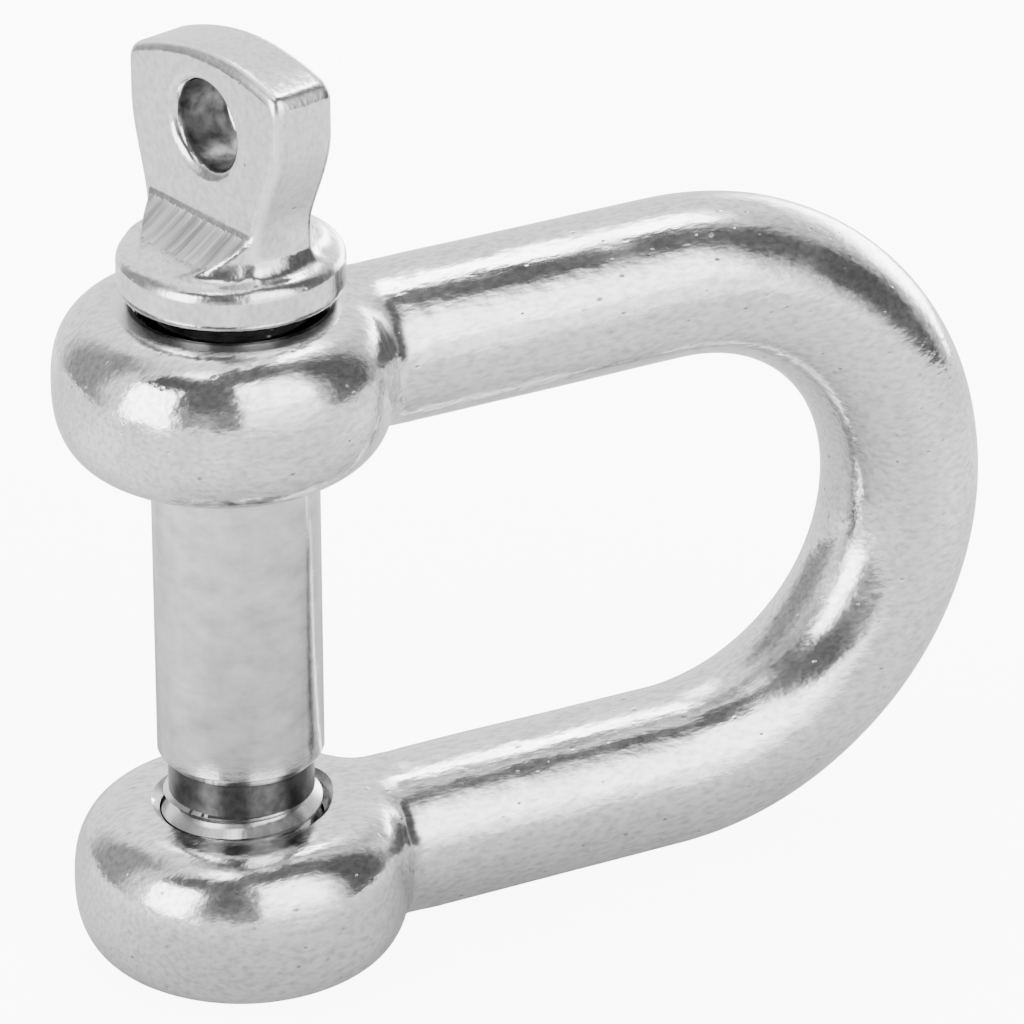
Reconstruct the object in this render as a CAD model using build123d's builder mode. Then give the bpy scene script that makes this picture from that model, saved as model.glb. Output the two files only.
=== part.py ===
from build123d import *
import os
from math import cos, radians, sin

# Screw-pin dee shackle for an 8 mm pin, in two pieces: a cast bar bent round with an eye at each end,
# and a one-piece screw pin with a flat eye head. Millimetres.
# The pin's axis is Z, the legs run along +X, and the origin is on that axis, midway between the eyes.

# ---- Bar: two straight legs and a half-round bow ----
bar_diameter = 7.9
leg_spacing = 26.3          # centre line of one leg to that of the other
bow_reach = 36.0            # pin's axis to the centre line at the bow's crown

# ---- Eyes ----
eye_diameter = 16.3
eye_thickness = 8.1
eye_offset = 0.05           # how far an eye's middle stands outside its leg's centre line
eye_rim_rounding = 3.4      # radius of the rim's two corners
eye_rim_flat = 0.2          # least straight stretch left in each half of the rim
upper_eye_shift = 0.5       # how far the upper eye stands back from the pin's axis, away from the bow

# ---- Holes ----
pin_clearance = 0.3         # between the shank and the plain hole, all round
thread_clearance = 0.1      # between the crests and the threaded hole, all round
hole_chamfer = 0.4
seat_margin = 0.3           # how far the machined seat runs out past the collar
seat_depth = 0.15
cutter_overrun = 1.0        # how far a cutter runs past the face that it opens

# ---- Screw pin ----
shank_diameter = 8.0
thread_undersize = 0.3      # how much less the M8 thread measures over its crests than the shank
neck_depth = 0.35           # thread relief, below the crests
neck_length = 1.6           # between its two cones
neck_taper = 0.5            # length of the cone at each end of the neck
neck_above_eye = 0.85       # how far above the lower eye the neck ends
thread_end_depth = 0.6      # how far inside the lower eye's outer face the thread ends
thread_end_chamfer = 0.8
collar_overhang = 1.4       # how far the collar stands out past the shank
collar_height = 2.2
collar_rounding = 0.6
seat_gap = 0.65             # how far the collar stands off its seat: half a turn short of home

# ---- Head: a flat plate with an eye through it ----
head_width = 11.2           # across the shoulders
head_root_width = 8.0
head_root_height = 2.0      # straight stretch above the collar, before the sides swell
head_sink = 0.6             # how far the plate's root runs down into the collar
head_shoulder_height = 8.4  # above the collar, where the plate is widest
head_height = 10.45         # above the collar, at the top of the dome
head_shoulder_rounding = 2.0
head_thickness = 3.5
head_edge_rounding = 0.6
head_eye_diameter = 4.25
head_eye_height = 6.6       # eye's centre above the collar
head_eye_shift = -0.3       # eye's centre across the plate, from the pin's axis
head_eye_rounding = 0.3
head_turn = 12.5            # degrees from +X to the line through the head's eye

# ---- Places worked out from the sizes above ----
leg_height = leg_spacing / 2
bow_start = bow_reach - leg_height
eye_height = leg_height + eye_offset
upper_eye_top = eye_height + eye_thickness / 2
upper_eye_bottom = eye_height - eye_thickness / 2
lower_eye_top = -eye_height + eye_thickness / 2
lower_eye_bottom = -eye_height - eye_thickness / 2
shank_radius = shank_diameter / 2
thread_radius = shank_radius - thread_undersize / 2
neck_radius = thread_radius - neck_depth
collar_radius = shank_radius + collar_overhang
plain_hole_radius = shank_radius + pin_clearance
threaded_hole_radius = thread_radius + thread_clearance
seat_height = upper_eye_top - seat_depth
seat_radius = collar_radius + seat_margin
collar_bottom = seat_height + seat_gap
collar_top = collar_bottom + collar_height
thread_top = lower_eye_top + neck_above_eye
thread_bottom = lower_eye_bottom + thread_end_depth
neck_top = thread_top + neck_length
head_across = (-sin(radians(head_turn)), cos(radians(head_turn)), 0)
head_through = (cos(radians(head_turn)), sin(radians(head_turn)), 0)
head_plane = Plane((0, 0, collar_top), head_across, head_through)


def eye_blank(shift, height):
    """A disc with a rounded rim, before its hole."""
    with BuildPart() as blank:
        with Locations((shift, 0, height)):
            Cylinder(eye_diameter / 2, eye_thickness)
        rounding = min(eye_rim_rounding, eye_thickness / 2 - eye_rim_flat)
        fillet(blank.edges().filter_by(GeomType.CIRCLE), rounding)
    return blank.part


def bar_along_centre_line():
    """The round bar swept down one leg, round the bow and back along the other leg."""
    with BuildPart() as bar:
        with BuildLine(Plane.XZ) as centre_line:
            Line((0, leg_height), (bow_start, leg_height))
            ThreePointArc((bow_start, leg_height), (bow_reach, 0), (bow_start, -leg_height))
            Line((bow_start, -leg_height), (0, -leg_height))
        with BuildSketch(Plane.YZ) as section:
            with Locations((0, leg_height)):
                Circle(bar_diameter / 2)
        sweep(sections=section.sketch, path=centre_line.wire())
    return bar.part


def hole_cutter(radius, low, high):
    """What a drill and a countersink take away between two faces: a bore, opened at both mouths."""
    wide = radius + hole_chamfer + cutter_overrun
    with BuildPart() as cutter:
        with BuildSketch(Plane.XZ):
            with BuildLine():
                Polyline(
                    (0, low - cutter_overrun),
                    (wide, low - cutter_overrun),
                    (radius, low + hole_chamfer),
                    (radius, high - hole_chamfer),
                    (wide, high + cutter_overrun),
                    (0, high + cutter_overrun),
                    close=True,
                )
            make_face()
        revolve(axis=Axis.Z)
    return cutter.part


# ---- Shackle body: the cast bar, drilled ----
with BuildPart() as shackle_body:
    add(bar_along_centre_line())
    add(eye_blank(-upper_eye_shift, eye_height))
    add(eye_blank(0, -eye_height))
    # seat for the collar
    with Locations((0, 0, seat_height)):
        Cylinder(
            seat_radius,
            seat_depth + cutter_overrun,
            align=(Align.CENTER, Align.CENTER, Align.MIN),
            mode=Mode.SUBTRACT,
        )
    # plain hole through the upper eye, threaded hole through the lower one
    add(hole_cutter(plain_hole_radius, upper_eye_bottom, seat_height), mode=Mode.SUBTRACT)
    add(hole_cutter(threaded_hole_radius, lower_eye_bottom, lower_eye_top), mode=Mode.SUBTRACT)
shackle_body.part.label = "shackle_body"


def pin_outline():
    """Half the pin's profile, from the thread's end up to the collar's top, to turn about the axis."""
    with BuildSketch(Plane.XZ) as outline:
        with BuildLine():
            Polyline(
                (0, thread_bottom),
                (thread_radius - thread_end_chamfer, thread_bottom),
                (thread_radius, thread_bottom + thread_end_chamfer),
                (thread_radius, thread_top - neck_taper),
                (neck_radius, thread_top),
                (neck_radius, neck_top),
                (shank_radius, neck_top + neck_taper),
                (shank_radius, collar_bottom),
                (collar_radius, collar_bottom),
                (collar_radius, collar_top),
                (0, collar_top),
                close=True,
            )
        make_face()
        rim = outline.vertices().sort_by(Axis.X)[-2:]
        fillet(rim, collar_rounding)
    return outline.sketch


def head_outline():
    """The plate's outline: straight at the collar, swelling to round shoulders under a domed top."""
    root = head_root_width / 2
    shoulder = head_width / 2
    middle = ((root + shoulder) / 2, (head_root_height + head_shoulder_height) / 2)
    with BuildSketch(head_plane.offset(-head_thickness / 2)) as outline:
        with BuildLine():
            Line((0, -head_sink), (root, -head_sink))
            Line((root, -head_sink), (root, head_root_height))
            TangentArc((root, head_root_height), middle, tangent=(0, 1))
            TangentArc((shoulder, head_shoulder_height), middle, tangent=(0, -1))
            ThreePointArc(
                (shoulder, head_shoulder_height),
                (0, head_height),
                (-shoulder, head_shoulder_height),
            )
            split(bisect_by=Plane.YZ)
            mirror(about=Plane.YZ)
        make_face()
        fillet(outline.vertices().sort_by(Axis.Y)[-2:], head_shoulder_rounding)
    return outline.sketch


def head_plate():
    """The flat plate above the collar, with rounded edges and an eye through it."""
    with BuildPart() as plate:
        extrude(head_outline(), amount=head_thickness, dir=head_through)
        flats = plate.faces().sort_by(Axis((0, 0, 0), head_through))
        rims = flats[0].edges() + flats[-1].edges()
        fillet(rims.filter_by(lambda edge: edge.center().Z > collar_top), head_edge_rounding)
        with Locations(head_plane.location * Location((head_eye_shift, head_eye_height, 0))):
            Cylinder(head_eye_diameter / 2, 2 * head_thickness, mode=Mode.SUBTRACT)
        fillet(plate.edges(Select.LAST).filter_by(GeomType.CIRCLE), head_eye_rounding)
    return plate.part


# ---- Screw pin: turned in one piece with its flat eye head ----
with BuildPart() as screw_pin:
    revolve(pin_outline(), axis=Axis.Z)
    add(head_plate())
screw_pin.part.label = "screw_pin"

os.makedirs("parts", exist_ok=True)
export_step(shackle_body.part, "parts/shackle_body.step")
export_step(screw_pin.part, "parts/screw_pin.step")
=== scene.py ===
# %% [markdown]
# A screw-pin dee shackle in polished stainless steel, made of two pieces that come apart on the bench:
# the cast body (a round bar bent into a loop, with an eye at each end) and the screw pin.
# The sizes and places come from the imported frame, which is loaded first and never changed.

# %% Load the frame
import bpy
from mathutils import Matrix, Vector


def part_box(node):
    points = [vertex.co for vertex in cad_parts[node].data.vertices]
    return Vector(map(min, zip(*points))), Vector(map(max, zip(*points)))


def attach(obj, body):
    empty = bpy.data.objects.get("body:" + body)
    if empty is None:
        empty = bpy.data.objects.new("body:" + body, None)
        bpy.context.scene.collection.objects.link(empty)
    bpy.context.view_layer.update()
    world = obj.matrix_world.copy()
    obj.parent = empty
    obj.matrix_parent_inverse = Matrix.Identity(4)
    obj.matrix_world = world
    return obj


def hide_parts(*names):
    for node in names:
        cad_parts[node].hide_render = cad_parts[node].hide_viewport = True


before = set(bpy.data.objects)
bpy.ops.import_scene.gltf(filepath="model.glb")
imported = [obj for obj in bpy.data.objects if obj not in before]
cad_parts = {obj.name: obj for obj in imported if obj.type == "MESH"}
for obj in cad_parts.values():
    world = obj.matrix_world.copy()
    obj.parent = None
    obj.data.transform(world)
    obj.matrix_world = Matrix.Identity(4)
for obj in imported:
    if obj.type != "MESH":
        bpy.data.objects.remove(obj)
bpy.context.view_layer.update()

import bmesh
import bpy
import numpy as np
from math import cos, pi, radians, sin
from mathutils import Matrix, Vector, noise

MM = 0.001

# %% [markdown]
# The sizes that both pieces share, in millimetres. The pin's axis is Z and the legs run along +X, as in
# the frame. The boxes of the frame's two nodes are printed here, to hold the sizes against.

# %% Shared sizes
LEG_HEIGHT = 13.15          # a leg's centre line, from the middle of the jaw
BOW_START = 22.85           # where the straight legs end
BOW_REACH = 36.0            # the bow's centre line at its crown
EYE_HEIGHT = 13.2
EYE_HALF_HEIGHT = 4.05      # from an eye's middle to the face that its hole opens on
UPPER_EYE_SHIFT = -0.5      # the upper eye stands this much further from the bow
BUFFED_FLAT = 17.2          # how far the metal reaches above and below, once it is buffed flat
LOWEST = -17.25             # the surface that the shackle stands on
SEAT_HEIGHT = 17.1
SEAT_RADIUS = 5.7
COLLAR_BOTTOM = 17.75
COLLAR_TOP = 19.95
COLLAR_RADIUS = 5.4
SHANK_RADIUS = 4.0
PLAIN_HOLE_RADIUS = 4.3
TAPPED_HOLE_RADIUS = 3.95
CREST_RADIUS = 3.85         # of the pin's thread
RELIEF_RADIUS = 3.5
THREAD_PITCH = 1.25
HEAD_TURN = radians(12.5)
HEAD_HALF_THICKNESS = 1.75
HEAD_ROOT_RADIUS = 4.15
FACET_TOP = 2.0             # where the ground facets start, above the collar
FACET_SLOPE = 1.15          # how far a facet runs out for each millimetre down
EYE_ACROSS, EYE_UP = -0.3, 6.6
EYE_RADIUS = 2.125

low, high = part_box("shackle_body")
print("body box", [round(c / MM, 2) for c in low], [round(c / MM, 2) for c in high])
low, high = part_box("screw_pin")
print("pin box", [round(c / MM, 2) for c in low], [round(c / MM, 2) for c in high])

# %% [markdown]
# Every shape starts as a bmesh made with Blender's own operators and becomes an object at the origin,
# with its place in its mesh. Lengths are typed in millimetres and scaled once, here.


# %% Helpers for meshes
def finish_mesh(bm, name, closed=True):
    """Turns a bmesh in millimetres into an object in metres, with its faces outwards."""
    bmesh.ops.remove_doubles(bm, verts=bm.verts, dist=0.0005)
    if closed:
        bmesh.ops.recalc_face_normals(bm, faces=bm.faces)
    bmesh.ops.scale(bm, vec=(MM, MM, MM), verts=bm.verts)
    mesh = bpy.data.meshes.new(name)
    bm.to_mesh(mesh)
    bm.free()
    piece = bpy.data.objects.new(name, mesh)
    bpy.context.scene.collection.objects.link(piece)
    return piece


def turned(profile, steps=128, screw=0.0):
    """Turns a profile of (radius, height) points about Z; a screw lifts it by that much in the turn."""
    bm = bmesh.new()
    points = [bm.verts.new((radius, 0, height)) for radius, height in profile]
    edges = [bm.edges.new(pair) for pair in zip(points, points[1:])]
    bmesh.ops.spin(
        bm,
        geom=points + edges,
        axis=(0, 0, 1),
        cent=(0, 0, 0),
        angle=2 * pi,
        steps=steps,
        dvec=(0, 0, screw / steps),
        use_merge=screw == 0,
    )
    bmesh.ops.remove_doubles(bm, verts=bm.verts, dist=0.002)
    return bm


def use_modifier(piece, kind, **settings):
    """Adds one modifier, keeps its result as the piece's mesh and takes the modifier off again."""
    modifier = piece.modifiers.new(kind, kind)
    for key, value in settings.items():
        setattr(modifier, key, value)
    graph = bpy.context.evaluated_depsgraph_get()
    result = bpy.data.meshes.new_from_object(piece.evaluated_get(graph))
    piece.modifiers.clear()
    old, piece.data = piece.data, result
    bpy.data.meshes.remove(old)
    return piece


def cut(piece, tool, operation="DIFFERENCE"):
    """Cuts the tool's shape from the piece, or joins it on, and throws the tool away."""
    use_modifier(piece, "BOOLEAN", object=tool, operation=operation, solver="MANIFOLD")
    bpy.data.objects.remove(tool)
    return piece


def count(piece):
    corners = sum(len(face.vertices) - 2 for face in piece.data.polygons)
    print(piece.name, "has", corners, "triangles")


# %% [markdown]
# A cast and buffed piece has no straight lines left where its shapes meet: the buffing wheel rounds every
# corner and draws every inner one out into a small hollow. That is hard to bevel by hand, so the rough
# shape is remeshed into small even squares and each point is then settled onto the buffed surface, which
# is given as a distance: below nought inside the metal, nought on its skin.


# %% Settle a rough shape onto its buffed surface
def skin_direction(distance, points):
    """The way out of the metal at each point: the slope of the distance."""
    step = 0.002
    slope = np.empty_like(points)
    for axis in range(3):
        shift = np.zeros(3)
        shift[axis] = step
        slope[:, axis] = distance(points + shift) - distance(points - shift)
    return slope / np.maximum(np.linalg.norm(slope, axis=1, keepdims=True), 1e-9)


def read_points(mesh):
    flat = np.empty(len(mesh.vertices) * 3, np.float32)
    mesh.vertices.foreach_get("co", flat)
    return flat.reshape(-1, 3).astype(float) / MM


def write_points(mesh, points):
    mesh.vertices.foreach_set("co", (points * MM).astype(np.float32).ravel())
    mesh.update()


def settle(piece, distance, square, rounds=4, waviness=None):
    """Remeshes the piece into even squares of that size and lays every point on the buffed surface."""
    use_modifier(piece, "REMESH", mode="VOXEL", voxel_size=square * MM, use_smooth_shade=True)
    mesh = piece.data
    for turn in range(rounds):
        bm = bmesh.new()
        bm.from_mesh(mesh)
        bmesh.ops.smooth_vert(
            bm, verts=bm.verts, factor=0.5, use_axis_x=True, use_axis_y=True, use_axis_z=True
        )
        bm.to_mesh(mesh)
        bm.free()
        points = read_points(mesh)
        for _ in range(4):
            points -= skin_direction(distance, points) * np.clip(distance(points), -0.4, 0.4)[:, None]
        write_points(mesh, points)
    if waviness:
        ways = skin_direction(distance, points)
        write_points(mesh, points + ways * waviness(points)[:, None])
    print(piece.name, "lies within", round(float(np.abs(distance(points)).max()), 4), "mm of its surface")
    return piece


def join_soft(a, b, hollow):
    """The distance to two shapes together, with a small hollow where they meet."""
    near = np.maximum(hollow - np.abs(a - b), 0) / hollow
    return np.minimum(a, b) - near * near * hollow / 4


def cut_soft(a, b, rounding):
    """The distance to what is left of a when only its part inside b is kept, with a rounded edge."""
    return -join_soft(-a, -b, rounding)


# %% [markdown]
# **The body.** The real one is cast, then ground and buffed. The rough shape needs only the bar and the
# two eyes: the bar is a circle pushed out along one leg, spun half a turn round the bow and pushed back
# along the other leg; each eye is a short cylinder whose two rims are bevelled.


# %% Rough shape of the body
def rough_body():
    bm = bmesh.new()
    start = Matrix.Translation((0, 0, LEG_HEIGHT)) @ Matrix.Rotation(pi / 2, 4, "Y")
    ring = bmesh.ops.create_circle(bm, cap_ends=False, segments=48, radius=3.9, matrix=start)
    edges = list({edge for vertex in ring["verts"] for edge in vertex.link_edges})
    first = edges
    for run in (BOW_START, None, -BOW_START):
        if run is None:
            out = bmesh.ops.spin(
                bm, geom=edges, axis=(0, 1, 0), cent=(BOW_START, 0, 0), angle=pi, steps=48
            )
            out = out["geom_last"]
        else:
            out = bmesh.ops.extrude_edge_only(bm, edges=edges)["geom"]
            moved = [part for part in out if isinstance(part, bmesh.types.BMVert)]
            bmesh.ops.translate(bm, vec=(run, 0, 0), verts=moved)
        edges = [part for part in out if isinstance(part, bmesh.types.BMEdge)]
    bmesh.ops.holes_fill(bm, edges=first + edges, sides=0)
    for shift, height in ((UPPER_EYE_SHIFT, EYE_HEIGHT), (0, -EYE_HEIGHT)):
        place = Matrix.Translation((shift, 0, height))
        eye = bmesh.ops.create_cone(
            bm, cap_ends=True, segments=96, radius1=8.1, radius2=8.1, depth=8.0, matrix=place
        )
        rims = {
            edge
            for vertex in eye["verts"]
            for edge in vertex.link_edges
            if abs(edge.verts[0].co.z - edge.verts[1].co.z) < 0.01
        }
        bmesh.ops.bevel(
            bm,
            geom=list(rims),
            offset=3.0,
            offset_type="OFFSET",
            affect="EDGES",
            segments=6,
            profile=0.5,
            material=-1,
        )
    return finish_mesh(bm, "shackle_body_metal")


body = rough_body()
count(body)

# %% [markdown]
# The buffed surface of the body: a round bar that is a hair thinner at the crown, because buffing took
# more there; two eyes whose rims are fuller than a plain round; and a hollow of somewhat under a
# millimetre where a leg runs into its eye. The hollow was ground by hand, so its depth wanders a little.
# A soft join bulges slightly where bar and eye lie level, and the wheel took that flat as well.


# %% Buffed surface of the body
def bar_distance(points):
    x, y, z = points.T
    along = np.clip(x, 0, BOW_START)
    leg = np.sqrt((x - along) ** 2 + y**2 + (np.abs(z) - LEG_HEIGHT) ** 2)
    round_bow = np.hypot(np.hypot(x - BOW_START, z) - LEG_HEIGHT, y)
    thinning = np.clip((x - 6) / (BOW_REACH - 6), 0, 1)
    radius = 3.99 - 0.1 * thinning
    return np.where(x > BOW_START, round_bow, leg) - radius


def eye_distance(points, shift, height):
    full, half_height, radius, power = 3.6, 4.03, 8.12, 2.5
    x, y, z = points.T
    out = np.maximum(np.hypot(x - shift, y) - (radius - full), 1e-5) / full
    up = np.maximum(np.abs(z - height), 1e-5) / half_height
    size = (out**power + up**power) ** (1 / power)
    slope = np.hypot(out ** (power - 1) / full, up ** (power - 1) / half_height) * size ** (1 - power)
    return (size - 1) / np.maximum(slope, 0.05)


def body_distance(points):
    bar = bar_distance(points)
    upper = eye_distance(points, UPPER_EYE_SHIFT, EYE_HEIGHT)
    lower = eye_distance(points, 0, -EYE_HEIGHT)
    whole = join_soft(join_soft(bar, upper, 0.8), lower, 0.8)
    return np.maximum(whole, np.abs(points[:, 2]) - BUFFED_FLAT)


def hand_finish(points):
    """How far the buffing left the skin below its true surface, in millimetres."""
    leg_root = np.exp(-(((points[:, 0] - 7.6) / 1.6) ** 2)) * (np.abs(points[:, 2]) > 8)
    low_waves = np.array([noise.noise(Vector(p) / 5.0) for p in points])
    short_waves = np.array([noise.noise(Vector(p) / 1.3 + Vector((7, 3, 1))) for p in points])
    return -0.03 + 0.022 * low_waves + 0.003 * short_waves - 0.11 * leg_root * np.abs(short_waves)


settle(body, body_distance, square=0.3, waviness=hand_finish)
count(body)

# %% [markdown]
# **The holes.** On the real body the upper eye is drilled clear and spot-faced for the collar, and the
# lower eye is drilled, countersunk and tapped. The cutters are turned shapes, and the tap is a zigzag
# spun one turn while it climbs by one pitch, so each tooth meets the next one and the whole thread is
# one surface. Its ends are sliced flat and closed.


# %% Cutters for the holes
def drill(radius, low, high, chamfer=0.4):
    over = 2.0
    wide = radius + chamfer + over
    profile = [
        (0, low - over),
        (wide, low - over),
        (radius, low + chamfer),
        (radius, high - chamfer),
        (wide, high + over),
        (0, high + over),
    ]
    return finish_mesh(turned(profile), "drill")


def screw_thread(crest, root, low, high, flat=0.16):
    """A screw from low to high: flats at the crests and the roots, flanks between them."""
    profile = []
    height = low - 2 * THREAD_PITCH
    flank = THREAD_PITCH / 2 - flat
    while height < high + THREAD_PITCH:
        profile += [
            (root, height),
            (root, height + flat),
            (crest, height + flat + flank),
            (crest, height + 2 * flat + flank),
        ]
        height += THREAD_PITCH
    profile.append((root, height))
    bm = turned(profile, steps=96, screw=THREAD_PITCH)
    for level, up in ((low, -1), (high, 1)):
        everything = list(bm.verts) + list(bm.edges) + list(bm.faces)
        sliced = bmesh.ops.bisect_plane(
            bm, geom=everything, plane_co=(0, 0, level), plane_no=(0, 0, up), clear_outer=True
        )
        rim = [part for part in sliced["geom_cut"] if isinstance(part, bmesh.types.BMEdge)]
        bmesh.ops.edgeloop_fill(bm, edges=rim)
    return finish_mesh(bm, "screw_thread")


def spot_face():
    above = 20.0
    profile = [(0, SEAT_HEIGHT), (SEAT_RADIUS, SEAT_HEIGHT), (SEAT_RADIUS, above), (0, above)]
    return finish_mesh(turned(profile), "spot_face")


cut(body, spot_face())
cut(body, drill(PLAIN_HOLE_RADIUS, EYE_HEIGHT - EYE_HALF_HEIGHT, SEAT_HEIGHT))
cut(
    body,
    drill(TAPPED_HOLE_RADIUS, -EYE_HEIGHT - EYE_HALF_HEIGHT, -EYE_HEIGHT + EYE_HALF_HEIGHT),
)
cut(body, screw_thread(crest=4.4, root=3.8, low=-EYE_HEIGHT - 4.6, high=-EYE_HEIGHT + 4.6))
count(body)

# %% [markdown]
# **The screw pin.** It is cast with its head on and turned below it: a plain shank, a thread relief, a
# short thread, a round collar, and a flat head with an eye for a lashing or a spike. The shank, relief
# and thread are turned here as well. The collar and the head are buffed into each other, so they are
# settled onto a surface as the body was.


# %% Shank and thread
def shank():
    profile = [
        (0, -8.75),
        (3.2, -8.75),
        (RELIEF_RADIUS, -8.4),
        (RELIEF_RADIUS, -6.75),
        (3.52, -6.7),
        (3.94, -6.26),
        (SHANK_RADIUS, -6.15),
        (SHANK_RADIUS, COLLAR_BOTTOM + 0.5),
        (0, COLLAR_BOTTOM + 0.5),
    ]
    return finish_mesh(turned(profile), "shank")


def thread_blank():
    """The bar end that the thread is cut into: chamfered at the tip and where the relief begins."""
    profile = [
        (0, -16.65),
        (3.05, -16.65),
        (CREST_RADIUS, -15.85),
        (CREST_RADIUS, -8.7),
        (3.4, -8.3),
        (0, -8.3),
    ]
    return finish_mesh(turned(profile), "thread_blank")


long_thread = screw_thread(crest=CREST_RADIUS, root=3.25, low=-17.2, high=-8.0)
threaded_end = cut(long_thread, thread_blank(), "INTERSECT")
pin = cut(shank(), threaded_end, "UNION")
pin.name = "screw_pin_metal"
count(pin)

# %% [markdown]
# The head is a flat plate that swells from the collar to its shoulders under a domed top, and one
# shoulder stands a little further out. It grows out of a round root about as thick as the shank. The
# root was ground back to the plate at a slant on both sides, and where that slanted facet runs out on
# the round it leaves a curved edge just above the collar.


# %% Buffed surface of the collar and head
def smooth_step(t):
    t = np.clip(t, 0, 1)
    return t * t * (3 - 2 * t)


def head_places(points):
    """Across the plate, through it, and up from the collar's top."""
    x, y, z = points.T
    across = -sin(HEAD_TURN) * x + cos(HEAD_TURN) * y
    through = cos(HEAD_TURN) * x + sin(HEAD_TURN) * y
    return across, through, z - COLLAR_TOP


def plate_outline(across, up):
    """How far out the plate's two sides stand at that height, and how high its dome is there."""
    half_left = 4.25 + 1.1 * smooth_step((up - 0.6) / 6.0)
    half_right = 3.95 + 1.8 * smooth_step((up - 1.0) / 6.2)
    return half_left, half_right, 10.42 - 0.038 * (across + 0.9) ** 2


def facet_distance(through, up):
    """Distance to the two slanted planes that the root was ground back to."""
    steepness = 1.52            # length of the slope's own normal
    return (np.abs(through) - HEAD_HALF_THICKNESS - FACET_SLOPE * (FACET_TOP - up)) / steepness


def head_distance(points):
    across, through, up = head_places(points)
    half_left, half_right, top = plate_outline(across, up)
    sides = np.maximum(across - half_left, -across - half_right) * 0.96
    dome = (up - top) * 0.95
    outline = cut_soft(sides, dome, 0.6)
    plate = cut_soft(outline, np.abs(through) - HEAD_HALF_THICKNESS, 0.6)
    plate = np.maximum(plate, -up - 1.0)
    out = np.hypot(points[:, 0], points[:, 1])
    root = cut_soft(np.maximum(out - HEAD_ROOT_RADIUS, -up - 1.0), facet_distance(through, up), 0.12)
    rounding = 0.6
    rim_out = out - (COLLAR_RADIUS - rounding)
    middle = (COLLAR_BOTTOM + COLLAR_TOP) / 2
    rim_up = np.abs(points[:, 2] - middle) - ((COLLAR_TOP - COLLAR_BOTTOM) / 2 - rounding)
    outside = np.hypot(np.maximum(rim_out, 0), np.maximum(rim_up, 0))
    collar = outside + np.minimum(np.maximum(rim_out, rim_up), 0) - rounding
    whole = join_soft(join_soft(plate, root, 0.35), collar, 1.1)
    bore = np.hypot(across - EYE_ACROSS, up - EYE_UP) - EYE_RADIUS
    return cut_soft(whole, -bore, 0.7)


def rough_head():
    bm = bmesh.new()
    turn = Matrix.Rotation(HEAD_TURN, 4, "Z")
    middle = Matrix.Translation((0, 0, COLLAR_TOP + 4.8))
    bmesh.ops.create_cube(bm, size=1, matrix=turn @ middle @ Matrix.Diagonal((3.4, 10.6, 10.4, 1)))
    plate = finish_mesh(bm, "head_metal")
    bm = bmesh.new()
    through = Matrix.Rotation(pi / 2, 4, "Y")
    middle = Matrix.Translation((0, EYE_ACROSS, COLLAR_TOP + EYE_UP))
    bmesh.ops.create_cone(
        bm, cap_ends=True, segments=48, radius1=2.2, radius2=2.2, depth=12, matrix=turn @ middle @ through
    )
    cut(plate, finish_mesh(bm, "bore"))
    bm = bmesh.new()
    middle = Matrix.Translation((0, 0, (COLLAR_BOTTOM + COLLAR_TOP) / 2))
    bmesh.ops.create_cone(
        bm, cap_ends=True, segments=96, radius1=5.3, radius2=5.3, depth=2.1, matrix=middle
    )
    cut(plate, finish_mesh(bm, "collar"), "UNION")
    bm = bmesh.new()
    middle = Matrix.Translation((0, 0, COLLAR_TOP + 0.5))
    bmesh.ops.create_cone(
        bm, cap_ends=True, segments=96, radius1=4.12, radius2=4.12, depth=3.0, matrix=middle
    )
    for side in (-1, 1):
        everything = list(bm.verts) + list(bm.edges) + list(bm.faces)
        sliced = bmesh.ops.bisect_plane(
            bm,
            geom=everything,
            plane_co=turn @ Vector((side * HEAD_HALF_THICKNESS, 0, COLLAR_TOP + 1.95)),
            plane_no=turn.to_3x3() @ Vector((side, 0, FACET_SLOPE)),
            clear_outer=True,
        )
        rim = [part for part in sliced["geom_cut"] if isinstance(part, bmesh.types.BMEdge)]
        bmesh.ops.edgeloop_fill(bm, edges=rim)
    return cut(plate, finish_mesh(bm, "root"), "UNION")


def head_finish(points):
    waves = np.array([noise.noise(Vector(p) / 2.4) for p in points])
    return -0.012 + 0.012 * waves


head = settle(rough_head(), head_distance, square=0.16, waviness=head_finish)
cut(pin, head, "UNION")
count(pin)

# %% [markdown]
# Buffed metal shows every flaw in how its faces are shaded, so all faces shade smoothly except across
# edges that a tool left sharp: the mouths of the holes, the seat, the thread and the relief.

# %% Shading
for piece in (body, pin):
    piece.data.shade_smooth()
    piece.data.set_sharp_from_angle(angle=radians(32))
    sharp = piece.data.attributes.get("sharp_edge")
    print(piece.name, "has", sum(mark.value for mark in sharp.data) if sharp else 0, "sharp edges")

# %% [markdown]
# **Materials.** All of it is cast or turned 316 stainless steel. Its colour is a light neutral grey, and
# as a metal it keeps the shader's own IOR. Colours are typed as sRGB hex and turned linear here.


# %% Helpers for materials
def linear(hex_colour):
    parts = [int(hex_colour[i : i + 2], 16) / 255 for i in (1, 3, 5)]
    parts = [c / 12.92 if c <= 0.04045 else ((c + 0.055) / 1.055) ** 2.4 for c in parts]
    return (*parts, 1.0)


def add_node(tree, kind, inputs=(), **settings):
    """Adds one node, sets its properties, and fills its inputs with values or links."""
    node = tree.nodes.new("ShaderNode" + kind)
    for key, value in settings.items():
        setattr(node, key, value)
    for key, value in dict(inputs).items():
        if isinstance(value, bpy.types.NodeSocket):
            tree.links.new(value, node.inputs[key])
        else:
            node.inputs[key].default_value = value
    return node


def new_material(name):
    material = bpy.data.materials.new(name)
    material.use_nodes = True
    tree = material.node_tree
    tree.nodes.clear()
    return material, tree


def per_mm(millimetres):
    """The noise scale, per metre, whose grain is that many millimetres across."""
    return 1 / (millimetres * MM)


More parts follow.
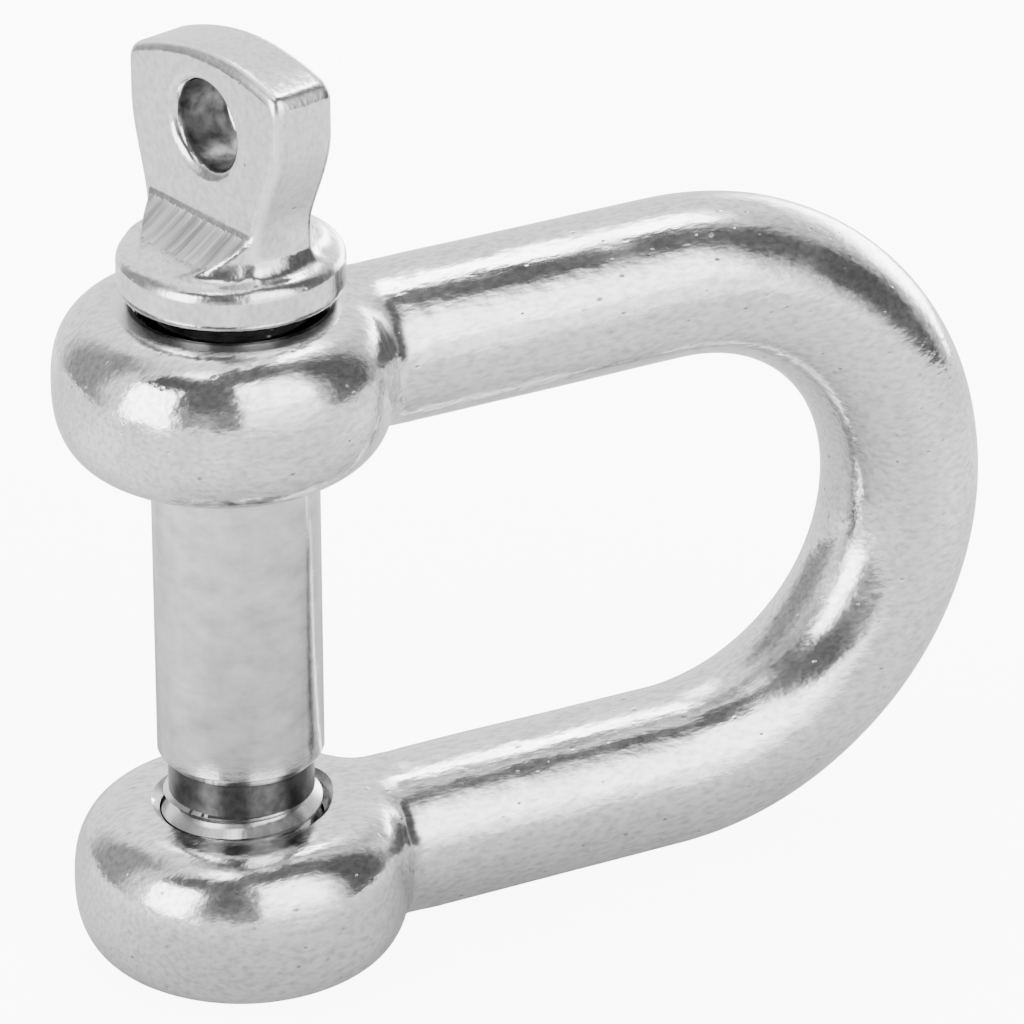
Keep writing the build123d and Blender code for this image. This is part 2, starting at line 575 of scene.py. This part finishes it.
# %% [markdown]
# *Buffed casting.* A mop and compound leave a near mirror: faint long waves, a haze that changes from
# place to place, hairline scratches, and the small pits of the casting that buffing opened up.


# %% Buffed steel
def buffed_steel(name, roughness, pit_share, scratch_turn, stretch, dark_skin):
    material, tree = new_material(name)
    place = add_node(tree, "TexCoord").outputs["Object"]
    # Near the head's edges the metal is rougher, and its colour is lighter as a painted highlight.
    wear_and_highlight = add_node(tree, "Attribute", attribute_name="edge_wear_and_painted_highlight")
    haze = add_node(tree, "TexNoise", {"Vector": place, "Scale": per_mm(3.5), "Detail": 4.0})
    drawn_out = add_node(tree, "Mapping", {"Vector": place, "Scale": stretch})
    grain = add_node(
        tree, "TexNoise", {"Vector": drawn_out.outputs[0], "Scale": per_mm(0.24), "Detail": 5.0}
    )
    dimples = add_node(
        tree, "TexNoise", {"Vector": drawn_out.outputs[0], "Scale": per_mm(0.8), "Detail": 3.0}
    )
    turned_place = add_node(
        tree, "Mapping", {"Vector": place, "Rotation": scratch_turn, "Scale": (1.0, 14.0, 14.0)}
    )
    scratches = add_node(
        tree,
        "TexNoise",
        {"Vector": turned_place.outputs[0], "Scale": per_mm(2.2), "Detail": 2.0},
    )
    long_place = add_node(tree, "Mapping", {"Vector": place, "Scale": (0.55, 1.0, 1.0)})
    pits = add_node(
        tree,
        "TexVoronoi",
        {"Vector": long_place.outputs[0], "Scale": per_mm(0.6), "Randomness": 1.0},
    )
    chosen = add_node(tree, "SeparateColor", {"Color": pits.outputs["Color"]})
    keep = add_node(
        tree, "Math", {0: chosen.outputs["Red"], 1: pit_share}, operation="LESS_THAN"
    )
    pit_size = add_node(
        tree,
        "MapRange",
        {"Value": chosen.outputs["Green"], "To Min": 0.07, "To Max": 0.22},
    )
    pit = add_node(
        tree,
        "MapRange",
        {
            "Value": pits.outputs["Distance"],
            "From Min": 0.02,
            "From Max": pit_size.outputs[0],
            "To Min": 1.0,
            "To Max": 0.0,
        },
    )
    pit_here = add_node(tree, "Math", {0: pit.outputs[0], 1: keep.outputs[0]}, operation="MULTIPLY")
    rough = add_node(
        tree,
        "MapRange",
        {
            "Value": haze.outputs["Fac"],
            "From Min": 0.3,
            "From Max": 0.7,
            "To Min": roughness * 0.6,
            "To Max": roughness * 1.5,
        },
    )
    rough_pit = add_node(
        tree, "Math", {0: pit_here.outputs[0], 1: 0.35, 2: rough.outputs[0]}, operation="MULTIPLY_ADD"
    )
    rough_edge = add_node(
        tree, "Math", {0: wear_and_highlight.outputs["Fac"], 1: 0.3, 2: rough_pit.outputs[0]}, operation="MULTIPLY_ADD"
    )
    mottle = add_node(
        tree, "MapRange", {"Value": grain.outputs["Fac"], "From Min": 0.3, "From Max": 0.6}
    )
    skin = add_node(
        tree,
        "Mix",
        {"Factor": mottle.outputs[0], "A": linear(dark_skin), "B": linear("#DEDEDE")},
        data_type="RGBA",
    )
    speckled_skin = add_node(
        tree,
        "Mix",
        {"Factor": pit_here.outputs[0], "A": skin.outputs["Result"], "B": linear("#6C6C6C")},
        data_type="RGBA",
    )
    # Near the head's edges the colour goes to near white: a painted highlight along the edges.
    colour = add_node(
        tree,
        "Mix",
        {
            "Factor": wear_and_highlight.outputs["Fac"],
            "A": speckled_skin.outputs["Result"],
            "B": linear("#FAFAFA"),
        },
        data_type="RGBA",
    )
    dents = add_node(
        tree, "Bump", {"Height": dimples.outputs["Fac"], "Strength": 1.0, "Distance": 0.04 * MM}
    )
    peel = add_node(
        tree,
        "Bump",
        {
            "Height": grain.outputs["Fac"],
            "Strength": 1.0,
            "Distance": 0.007 * MM,
            "Normal": dents.outputs[0],
        },
    )
    hairlines = add_node(
        tree,
        "Bump",
        {
            "Height": scratches.outputs["Fac"],
            "Strength": 1.0,
            "Distance": 0.003 * MM,
            "Normal": peel.outputs[0],
        },
    )
    pitted = add_node(
        tree,
        "Bump",
        {
            "Height": pit_here.outputs[0],
            "Strength": 1.0,
            "Distance": 0.02 * MM,
            "Normal": hairlines.outputs[0],
        },
        invert=True,
    )
    shader = add_node(
        tree,
        "BsdfPrincipled",
        {
            "Base Color": colour.outputs["Result"],
            "Metallic": 1.0,
            "Roughness": rough_edge.outputs[0],
            "Normal": pitted.outputs[0],
        },
    )
    add_node(tree, "OutputMaterial", {"Surface": shader.outputs[0]})
    return material


cast_finish = buffed_steel(
    "buffed_cast_stainless", 0.16, 0.45, (0.2, 0.5, 0.1), (0.45, 1.0, 1.0), "#B9B9B9"
)
head_finish_steel = buffed_steel(
    "buffed_head_stainless", 0.16, 0.15, (0.3, 1.4, 0.4), (1.0, 0.7, 0.7), "#C4C4C4"
)

# %% [markdown]
# *Turned shank.* A lathe tool leaves fine rings round the pin, too fine to see one by one; they are
# drawn about a tenth of a millimetre apart, so that they show as the soft satin streak of turned steel.


# %% Turned steel
def turned_steel(name, roughness, ring_depth):
    material, tree = new_material(name)
    place = add_node(tree, "TexCoord").outputs["Object"]
    squashed = add_node(tree, "Mapping", {"Vector": place, "Scale": (0.05, 0.05, 1.0)})
    rings = add_node(
        tree, "TexNoise", {"Vector": squashed.outputs[0], "Scale": per_mm(0.12), "Detail": 3.0}
    )
    round_place = add_node(tree, "Mapping", {"Vector": place, "Scale": (0.6, 0.6, 1.0)})
    cloud = add_node(
        tree,
        "TexNoise",
        {
            "Vector": round_place.outputs[0],
            "Scale": per_mm(0.9),
            "Detail": 7.0,
            "Roughness": 0.62,
        },
    )
    speckle = add_node(tree, "TexNoise", {"Vector": place, "Scale": per_mm(0.16), "Detail": 2.0})
    rough = add_node(
        tree,
        "MapRange",
        {
            "Value": cloud.outputs["Fac"],
            "From Min": 0.3,
            "From Max": 0.7,
            "To Min": roughness * 0.8,
            "To Max": roughness * 1.2,
        },
    )
    patchy = add_node(
        tree, "MapRange", {"Value": cloud.outputs["Fac"], "From Min": 0.3, "From Max": 0.7}
    )
    colour = add_node(
        tree,
        "Mix",
        {"Factor": patchy.outputs[0], "A": linear("#B8B8B8"), "B": linear("#E0E0E0")},
        data_type="RGBA",
    )
    ringed = add_node(
        tree, "Bump", {"Height": rings.outputs["Fac"], "Strength": 1.0, "Distance": ring_depth * MM}
    )
    speckled = add_node(
        tree,
        "Bump",
        {
            "Height": speckle.outputs["Fac"],
            "Strength": 1.0,
            "Distance": 0.004 * MM,
            "Normal": ringed.outputs[0],
        },
    )
    shader = add_node(
        tree,
        "BsdfPrincipled",
        {
            "Base Color": colour.outputs["Result"],
            "Metallic": 1.0,
            "Roughness": rough.outputs[0],
            "Normal": speckled.outputs[0],
        },
    )
    add_node(tree, "OutputMaterial", {"Surface": shader.outputs[0]})
    return material


shank_finish = turned_steel("turned_shank_stainless", 0.15, 0.002)
machined_finish = turned_steel("machined_stainless", 0.2, 0.002)


# %% [markdown]
# *Ground facet.* The slanted facets at the head's root were left as the grinding wheel made them: coarse
# straight marks that run down the slope, a little askew, and catch the light one by one.


# %% Ground steel
def ground_steel(name, mark_width, mark_depth):
    material, tree = new_material(name)
    place = add_node(tree, "TexCoord").outputs["Object"]
    straight = add_node(
        tree, "Mapping", {"Vector": place, "Rotation": (0.22, 0, -HEAD_TURN), "Scale": (0.07, 1.0, 0.07)}
    )
    marks = add_node(
        tree, "TexNoise", {"Vector": straight.outputs[0], "Scale": per_mm(mark_width), "Detail": 3.0}
    )
    share = add_node(
        tree, "MapRange", {"Value": marks.outputs["Fac"], "From Min": 0.35, "From Max": 0.65}
    )
    colour = add_node(
        tree,
        "Mix",
        {"Factor": share.outputs[0], "A": linear("#ABABAB"), "B": linear("#F2F2F2")},
        data_type="RGBA",
    )
    grooves = add_node(
        tree, "Bump", {"Height": marks.outputs["Fac"], "Strength": 1.0, "Distance": mark_depth * MM}
    )
    shader = add_node(
        tree,
        "BsdfPrincipled",
        {
            "Base Color": colour.outputs["Result"],
            "Metallic": 1.0,
            "Roughness": 0.42,
            "Normal": grooves.outputs[0],
        },
    )
    add_node(tree, "OutputMaterial", {"Surface": shader.outputs[0]})
    return material


facet_finish = ground_steel("ground_facet_stainless", 0.32, 0.06)

# %% [markdown]
# *Dull steel.* The wheel never reached inside the eyes and under the collar. The casting's skin or the
# drill's marks stay there, so the metal is rougher. Its colour there, and in the thread relief, is made
# much darker as painted shade.


# %% Dull steel with painted shade
def dull_steel_in_painted_shade(name, light, dark, roughness, shade_radius=None):
    material, tree = new_material(name)
    place = add_node(tree, "TexCoord").outputs["Object"]
    blotches = add_node(tree, "TexNoise", {"Vector": place, "Scale": per_mm(0.8), "Detail": 5.0})
    share = add_node(
        tree, "MapRange", {"Value": blotches.outputs["Fac"], "From Min": 0.35, "From Max": 0.65}
    )
    # The light and dark greys stand darker than the buffed metal: painted shade in holes, gaps and the
    # relief.
    colour = add_node(
        tree,
        "Mix",
        {"Factor": share.outputs[0], "A": linear(dark), "B": linear(light)},
        data_type="RGBA",
    )
    # Beyond this radius the colour goes back to pale grey: the painted shade stops just inside the
    # collar's rim.
    if shade_radius:
        flat = add_node(tree, "Mapping", {"Vector": place, "Scale": (1, 1, 0)})
        out = add_node(tree, "VectorMath", {0: flat.outputs[0]}, operation="LENGTH")
        outside_shade = add_node(
            tree,
            "MapRange",
            {
                "Value": out.outputs["Value"],
                "From Min": (shade_radius - 0.08) * MM,
                "From Max": (shade_radius + 0.08) * MM,
            },
        )
        colour = add_node(
            tree,
            "Mix",
            {"Factor": outside_shade.outputs[0], "A": colour.outputs["Result"], "B": linear("#D0D0D0")},
            data_type="RGBA",
        )
    dents = add_node(
        tree, "Bump", {"Height": blotches.outputs["Fac"], "Strength": 1.0, "Distance": 0.02 * MM}
    )
    shader = add_node(
        tree,
        "BsdfPrincipled",
        {
            "Base Color": colour.outputs["Result"],
            "Metallic": 1.0,
            "Roughness": roughness,
            "Normal": dents.outputs[0],
        },
    )
    add_node(tree, "OutputMaterial", {"Surface": shader.outputs[0]})
    return material


# The head's eye bore: rougher as-cast metal, its colour darkened as painted shade inside the hole.
bore_finish = dull_steel_in_painted_shade("as_cast_bore_painted_shade_stainless", "#8C8C8C", "#484848", 0.38)
# Near black under the collar, on the seat and in the upper hole: painted shade in the gap between pin and
# body.
joint_shade_finish = dull_steel_in_painted_shade("painted_shade_joint_stainless", "#4A4A4A", "#2A2A2A", 0.3, shade_radius=4.95)
# The tapped lower hole: a darker grey, painted shade inside the hole.
tapped_finish = dull_steel_in_painted_shade("tapped_hole_stainless", "#A2A2A2", "#747474", 0.3)
# The thread relief: near black, painted shade in the groove between shank and thread.
relief_finish = dull_steel_in_painted_shade("relief_painted_shade_stainless", "#585858", "#3A3A3A", 0.3)


# %% Give each face its finish
def face_places(piece):
    flat = np.empty(len(piece.data.polygons) * 3, np.float32)
    piece.data.polygons.foreach_get("center", flat)
    return flat.reshape(-1, 3).astype(float) / MM


def paint(piece, materials, chosen):
    piece.data.materials.clear()
    for material in materials:
        piece.data.materials.append(material)
    piece.data.polygons.foreach_set("material_index", chosen.astype(np.int32))
    piece.data.update()


places = face_places(body)
radii = np.hypot(places[:, 0], places[:, 1])
in_hole = (radii < 4.45) & (body_distance(places) < -0.12)
on_seat = (np.abs(places[:, 2] - SEAT_HEIGHT) < 0.01) & (radii < SEAT_RADIUS)
in_upper_hole = in_hole & (places[:, 2] > 0)
paint(
    body,
    [cast_finish, tapped_finish, joint_shade_finish],
    np.select([in_upper_hole | on_seat, in_hole], [2, 1], 0),
)

places = face_places(pin)
radii = np.hypot(places[:, 0], places[:, 1])
across, through, up = head_places(places)
turned_face = (places[:, 2] < COLLAR_BOTTOM - 0.05) & (radii < 4.05)
cut_face = turned_face & (places[:, 2] < -6.2)
in_relief = turned_face & (places[:, 2] > -8.45) & (places[:, 2] < -6.7)
under_collar = (np.abs(places[:, 2] - COLLAR_BOTTOM) < 0.06) & (radii < COLLAR_RADIUS - 0.3)
on_slope = np.abs(facet_distance(through, up)) < 0.06
on_facet = on_slope & (up > 0.15) & (up < 2.1) & (radii < 4.1)
in_bore = (np.hypot(across - EYE_ACROSS, up - EYE_UP) < 2.2) & (np.abs(through) < 1.7)
paint(
    pin,
    [
        head_finish_steel,
        shank_finish,
        machined_finish,
        bore_finish,
        joint_shade_finish,
        relief_finish,
        facet_finish,
    ],
    np.select(
        [under_collar, in_bore, in_relief, cut_face, turned_face, on_facet],
        [4, 3, 5, 2, 1, 6],
        0,
    ),
)
for piece in (body, pin):
    print(piece.name, [material.name for material in piece.data.materials])


# %% [markdown]
# The plate's edges are touched by every hand and hook, so they lose their polish first and turn rougher.
# How near each point lies to an edge is kept on the mesh; there the material is rougher, with a painted
# highlight in its colour.


# %% Worn edges and painted edge highlight of the head
def mark_edge_wear_and_highlight(piece):
    points = read_points(piece.data)
    across, through, up = head_places(points)
    half_left, half_right, top = plate_outline(across, up)
    from_side = np.minimum(half_left - across, half_right + across)
    from_top = top - up
    from_face = HEAD_HALF_THICKNESS - np.abs(through)
    from_outline = np.minimum(from_side, from_top)
    reach = 0.4
    near = 1 - np.maximum(from_outline, from_face) / reach
    corner = 1 - np.maximum(from_side, from_top) / reach
    wear_and_highlight = np.clip(np.maximum(near, corner), 0, 1) * (up > 0.8)
    # Kept per point: nearness to the plate's edges, for rougher metal and a painted highlight.
    attribute = piece.data.attributes.new("edge_wear_and_painted_highlight", "FLOAT", "POINT")
    attribute.data.foreach_set("value", wear_and_highlight.astype(np.float32))
    print("worn points", int((wear_and_highlight > 0.5).sum()))


mark_edge_wear_and_highlight(pin)

# %% [markdown]
# Each finished piece takes the place of its node in the frame and rides on that node's body, so the pin
# and its thread slide out together.

# %% Put the pieces in the frame
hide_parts("shackle_body")
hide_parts("screw_pin")
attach(body, "shackle")
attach(pin, "pin")
print("shackle_body is drawn by", body.name, "and screw_pin by", pin.name)

# %% [markdown]
# **Studio.** Polished metal shows the room and little else. The room is a light tent: a soft box on each
# side of the camera, a dark gap between them where the camera stands, a dark flag on the right, a pale
# wall behind. It is drawn in the world by direction, azimuth round the object and height above it.


# %% The light tent
def build_world():
    world = bpy.data.worlds.new("light_tent")
    bpy.context.scene.world = world
    world.use_nodes = True
    tree = world.node_tree
    tree.nodes.clear()
    way = add_node(tree, "SeparateXYZ", {0: add_node(tree, "TexCoord").outputs["Generated"]})
    toward = add_node(tree, "Math", {0: way.outputs["Y"], 1: -1.0}, operation="MULTIPLY")
    azimuth = add_node(
        tree, "Math", {0: way.outputs["X"], 1: toward.outputs[0]}, operation="ARCTAN2"
    ).outputs[0]
    height = add_node(tree, "Math", {0: way.outputs["Z"]}, operation="ARCSINE").outputs[0]

    def panel(under, strength, left, right, bottom, top, soft=8):
        """Lays one panel of light or dark, in degrees and with soft edges, over what is there."""
        inside = 1.0
        limits = (azimuth, left, 1), (azimuth, right, -1), (height, bottom, 1), (height, top, -1)
        for place, limit, inward in limits:
            start, end = limit - inward * soft, limit + inward * soft
            rise = add_node(
                tree,
                "MapRange",
                {"Value": place, "From Min": radians(start), "From Max": radians(end)},
                interpolation_type="SMOOTHSTEP",
            )
            inside = add_node(
                tree, "Math", {0: inside, 1: rise.outputs[0]}, operation="MULTIPLY"
            ).outputs[0]
        return add_node(
            tree, "Mix", {"Factor": inside, "A": under, "B": strength}, data_type="FLOAT"
        ).outputs["Result"]

    light = panel(1.9, 0.5, -160, -112, -40, 60, 10)          # grey wall, far left
    light = panel(light, 1.2, 84, 116, -40, 46, 8)            # wall beyond the flag, in shade
    light = panel(light, 0.18, -98, -12, -40, 70, 6)          # dark behind the camera
    light = panel(light, 0.36, -60, -16, -40, 14, 6)          # a little paler near the floor
    light = panel(light, 0.15, 46, 90, -40, 74, 8)            # dark flag on the right
    light = panel(light, 0.22, -50, 104, 58, 100, 6)          # dark overhead
    light = panel(light, 7.0, -100, -52, 71, 100, 4)          # light bar overhead on the left
    light = panel(light, 13.0, 107, 138, 50, 74, 4)           # light bar overhead at the back
    light = panel(light, 6.0, 150, 172, 46, 66, 5)            # its reflection off the back wall
    light = panel(light, 9.5, -95, -61, -30, 39, 5)           # soft box on the left
    light = panel(light, 6.0, -12, 37, -30, 56, 6)            # soft box on the right
    light = panel(light, 3.2, -11, 37, -30, 12, 7)            # its lower half, turned away
    light = panel(light, 0.7, -50, -30, -12, 6, 4)            # the camera's own pale shape
    light = panel(light, 12.0, 104, 142, -30, 12, 8)          # bright backdrop
    seen = add_node(tree, "LightPath").outputs["Is Camera Ray"]
    strength = add_node(
        tree, "Mix", {"Factor": seen, "A": light, "B": 11.0}, data_type="FLOAT"
    ).outputs["Result"]
    back = add_node(tree, "Background", {"Color": (1, 1, 1, 1), "Strength": strength})
    add_node(tree, "OutputWorld", {"Surface": back.outputs[0]})
    print("world nodes", len(tree.nodes))


build_world()


# %% [markdown]
# The floor is a sheet of pale paper, a little uneven and in the shackle's shade near it, so that the
# metal doesn't mirror one flat tone. To the camera it glows, and it runs out into the white of the tent.


# %% Floor
def build_floor():
    bm = bmesh.new()
    bmesh.ops.create_grid(
        bm, x_segments=1, y_segments=1, size=170, matrix=Matrix.Translation((0, 0, LOWEST))
    )
    floor = finish_mesh(bm, "studio_floor", closed=False)
    material, tree = new_material("pale_studio_floor")
    seen = add_node(tree, "LightPath").outputs["Is Camera Ray"]
    glow = add_node(tree, "Math", {0: seen, 1: 9.0}, operation="MULTIPLY")
    place = add_node(tree, "TexCoord").outputs["Object"]
    patches = add_node(tree, "TexNoise", {"Vector": place, "Scale": per_mm(55), "Detail": 2.0})
    uneven = add_node(
        tree, "MapRange", {"Value": patches.outputs["Fac"], "From Min": 0.35, "From Max": 0.65}
    )
    paper = add_node(
        tree,
        "Mix",
        {"Factor": uneven.outputs[0], "A": linear("#D8D8D8"), "B": linear("#FFFFFF")},
        data_type="RGBA",
    )
    from_object = add_node(
        tree, "VectorMath", {0: place, 1: (-14 * MM, 0, -LOWEST * MM)}, operation="ADD"
    )
    distance = add_node(tree, "VectorMath", {0: from_object.outputs[0]}, operation="LENGTH")
    lit = add_node(
        tree,
        "MapRange",
        {"Value": distance.outputs["Value"], "From Min": 20 * MM, "From Max": 60 * MM},
    )
    paper = add_node(
        tree,
        "Mix",
        {"Factor": lit.outputs[0], "A": linear("#CCCCCC"), "B": paper.outputs["Result"]},
        data_type="RGBA",
    )
    shader = add_node(
        tree,
        "BsdfPrincipled",
        {
            "Base Color": paper.outputs["Result"],
            "Roughness": 0.9,
            "Emission Color": (1, 1, 1, 1),
            "Emission Strength": glow.outputs[0],
        },
    )
    add_node(tree, "OutputMaterial", {"Surface": shader.outputs[0]})
    floor.data.materials.append(material)
    print("floor at", LOWEST, "mm")


build_floor()


# %% [markdown]
# **Camera.** A long lens from about half a metre, to the shackle's left and looking down on it.


# %% Camera
def build_camera():
    azimuth, height, roll = radians(-27.54), radians(26.46), radians(-0.4)
    away, aim = 478 * MM, Vector((14.65, 0, 2.61)) * MM
    back = Vector((sin(azimuth) * cos(height), -cos(azimuth) * cos(height), sin(height)))
    right = Vector((cos(azimuth), sin(azimuth), 0))
    up = back.cross(right)
    right, up = right * cos(roll) + up * sin(roll), up * cos(roll) - right * sin(roll)
    lens = bpy.data.cameras.new("camera")
    lens.sensor_width = 36
    lens.lens = 36 * 9990 / 1024
    lens.clip_start, lens.clip_end = 0.01, 20
    camera = bpy.data.objects.new("camera", lens)
    turn = Matrix((right, up, back)).transposed().to_4x4()
    camera.matrix_world = Matrix.Translation(aim + back * away) @ turn
    bpy.context.scene.collection.objects.link(camera)
    bpy.context.scene.camera = camera
    print("camera at", [round(c / MM, 1) for c in camera.matrix_world.translation], "mm")


build_camera()
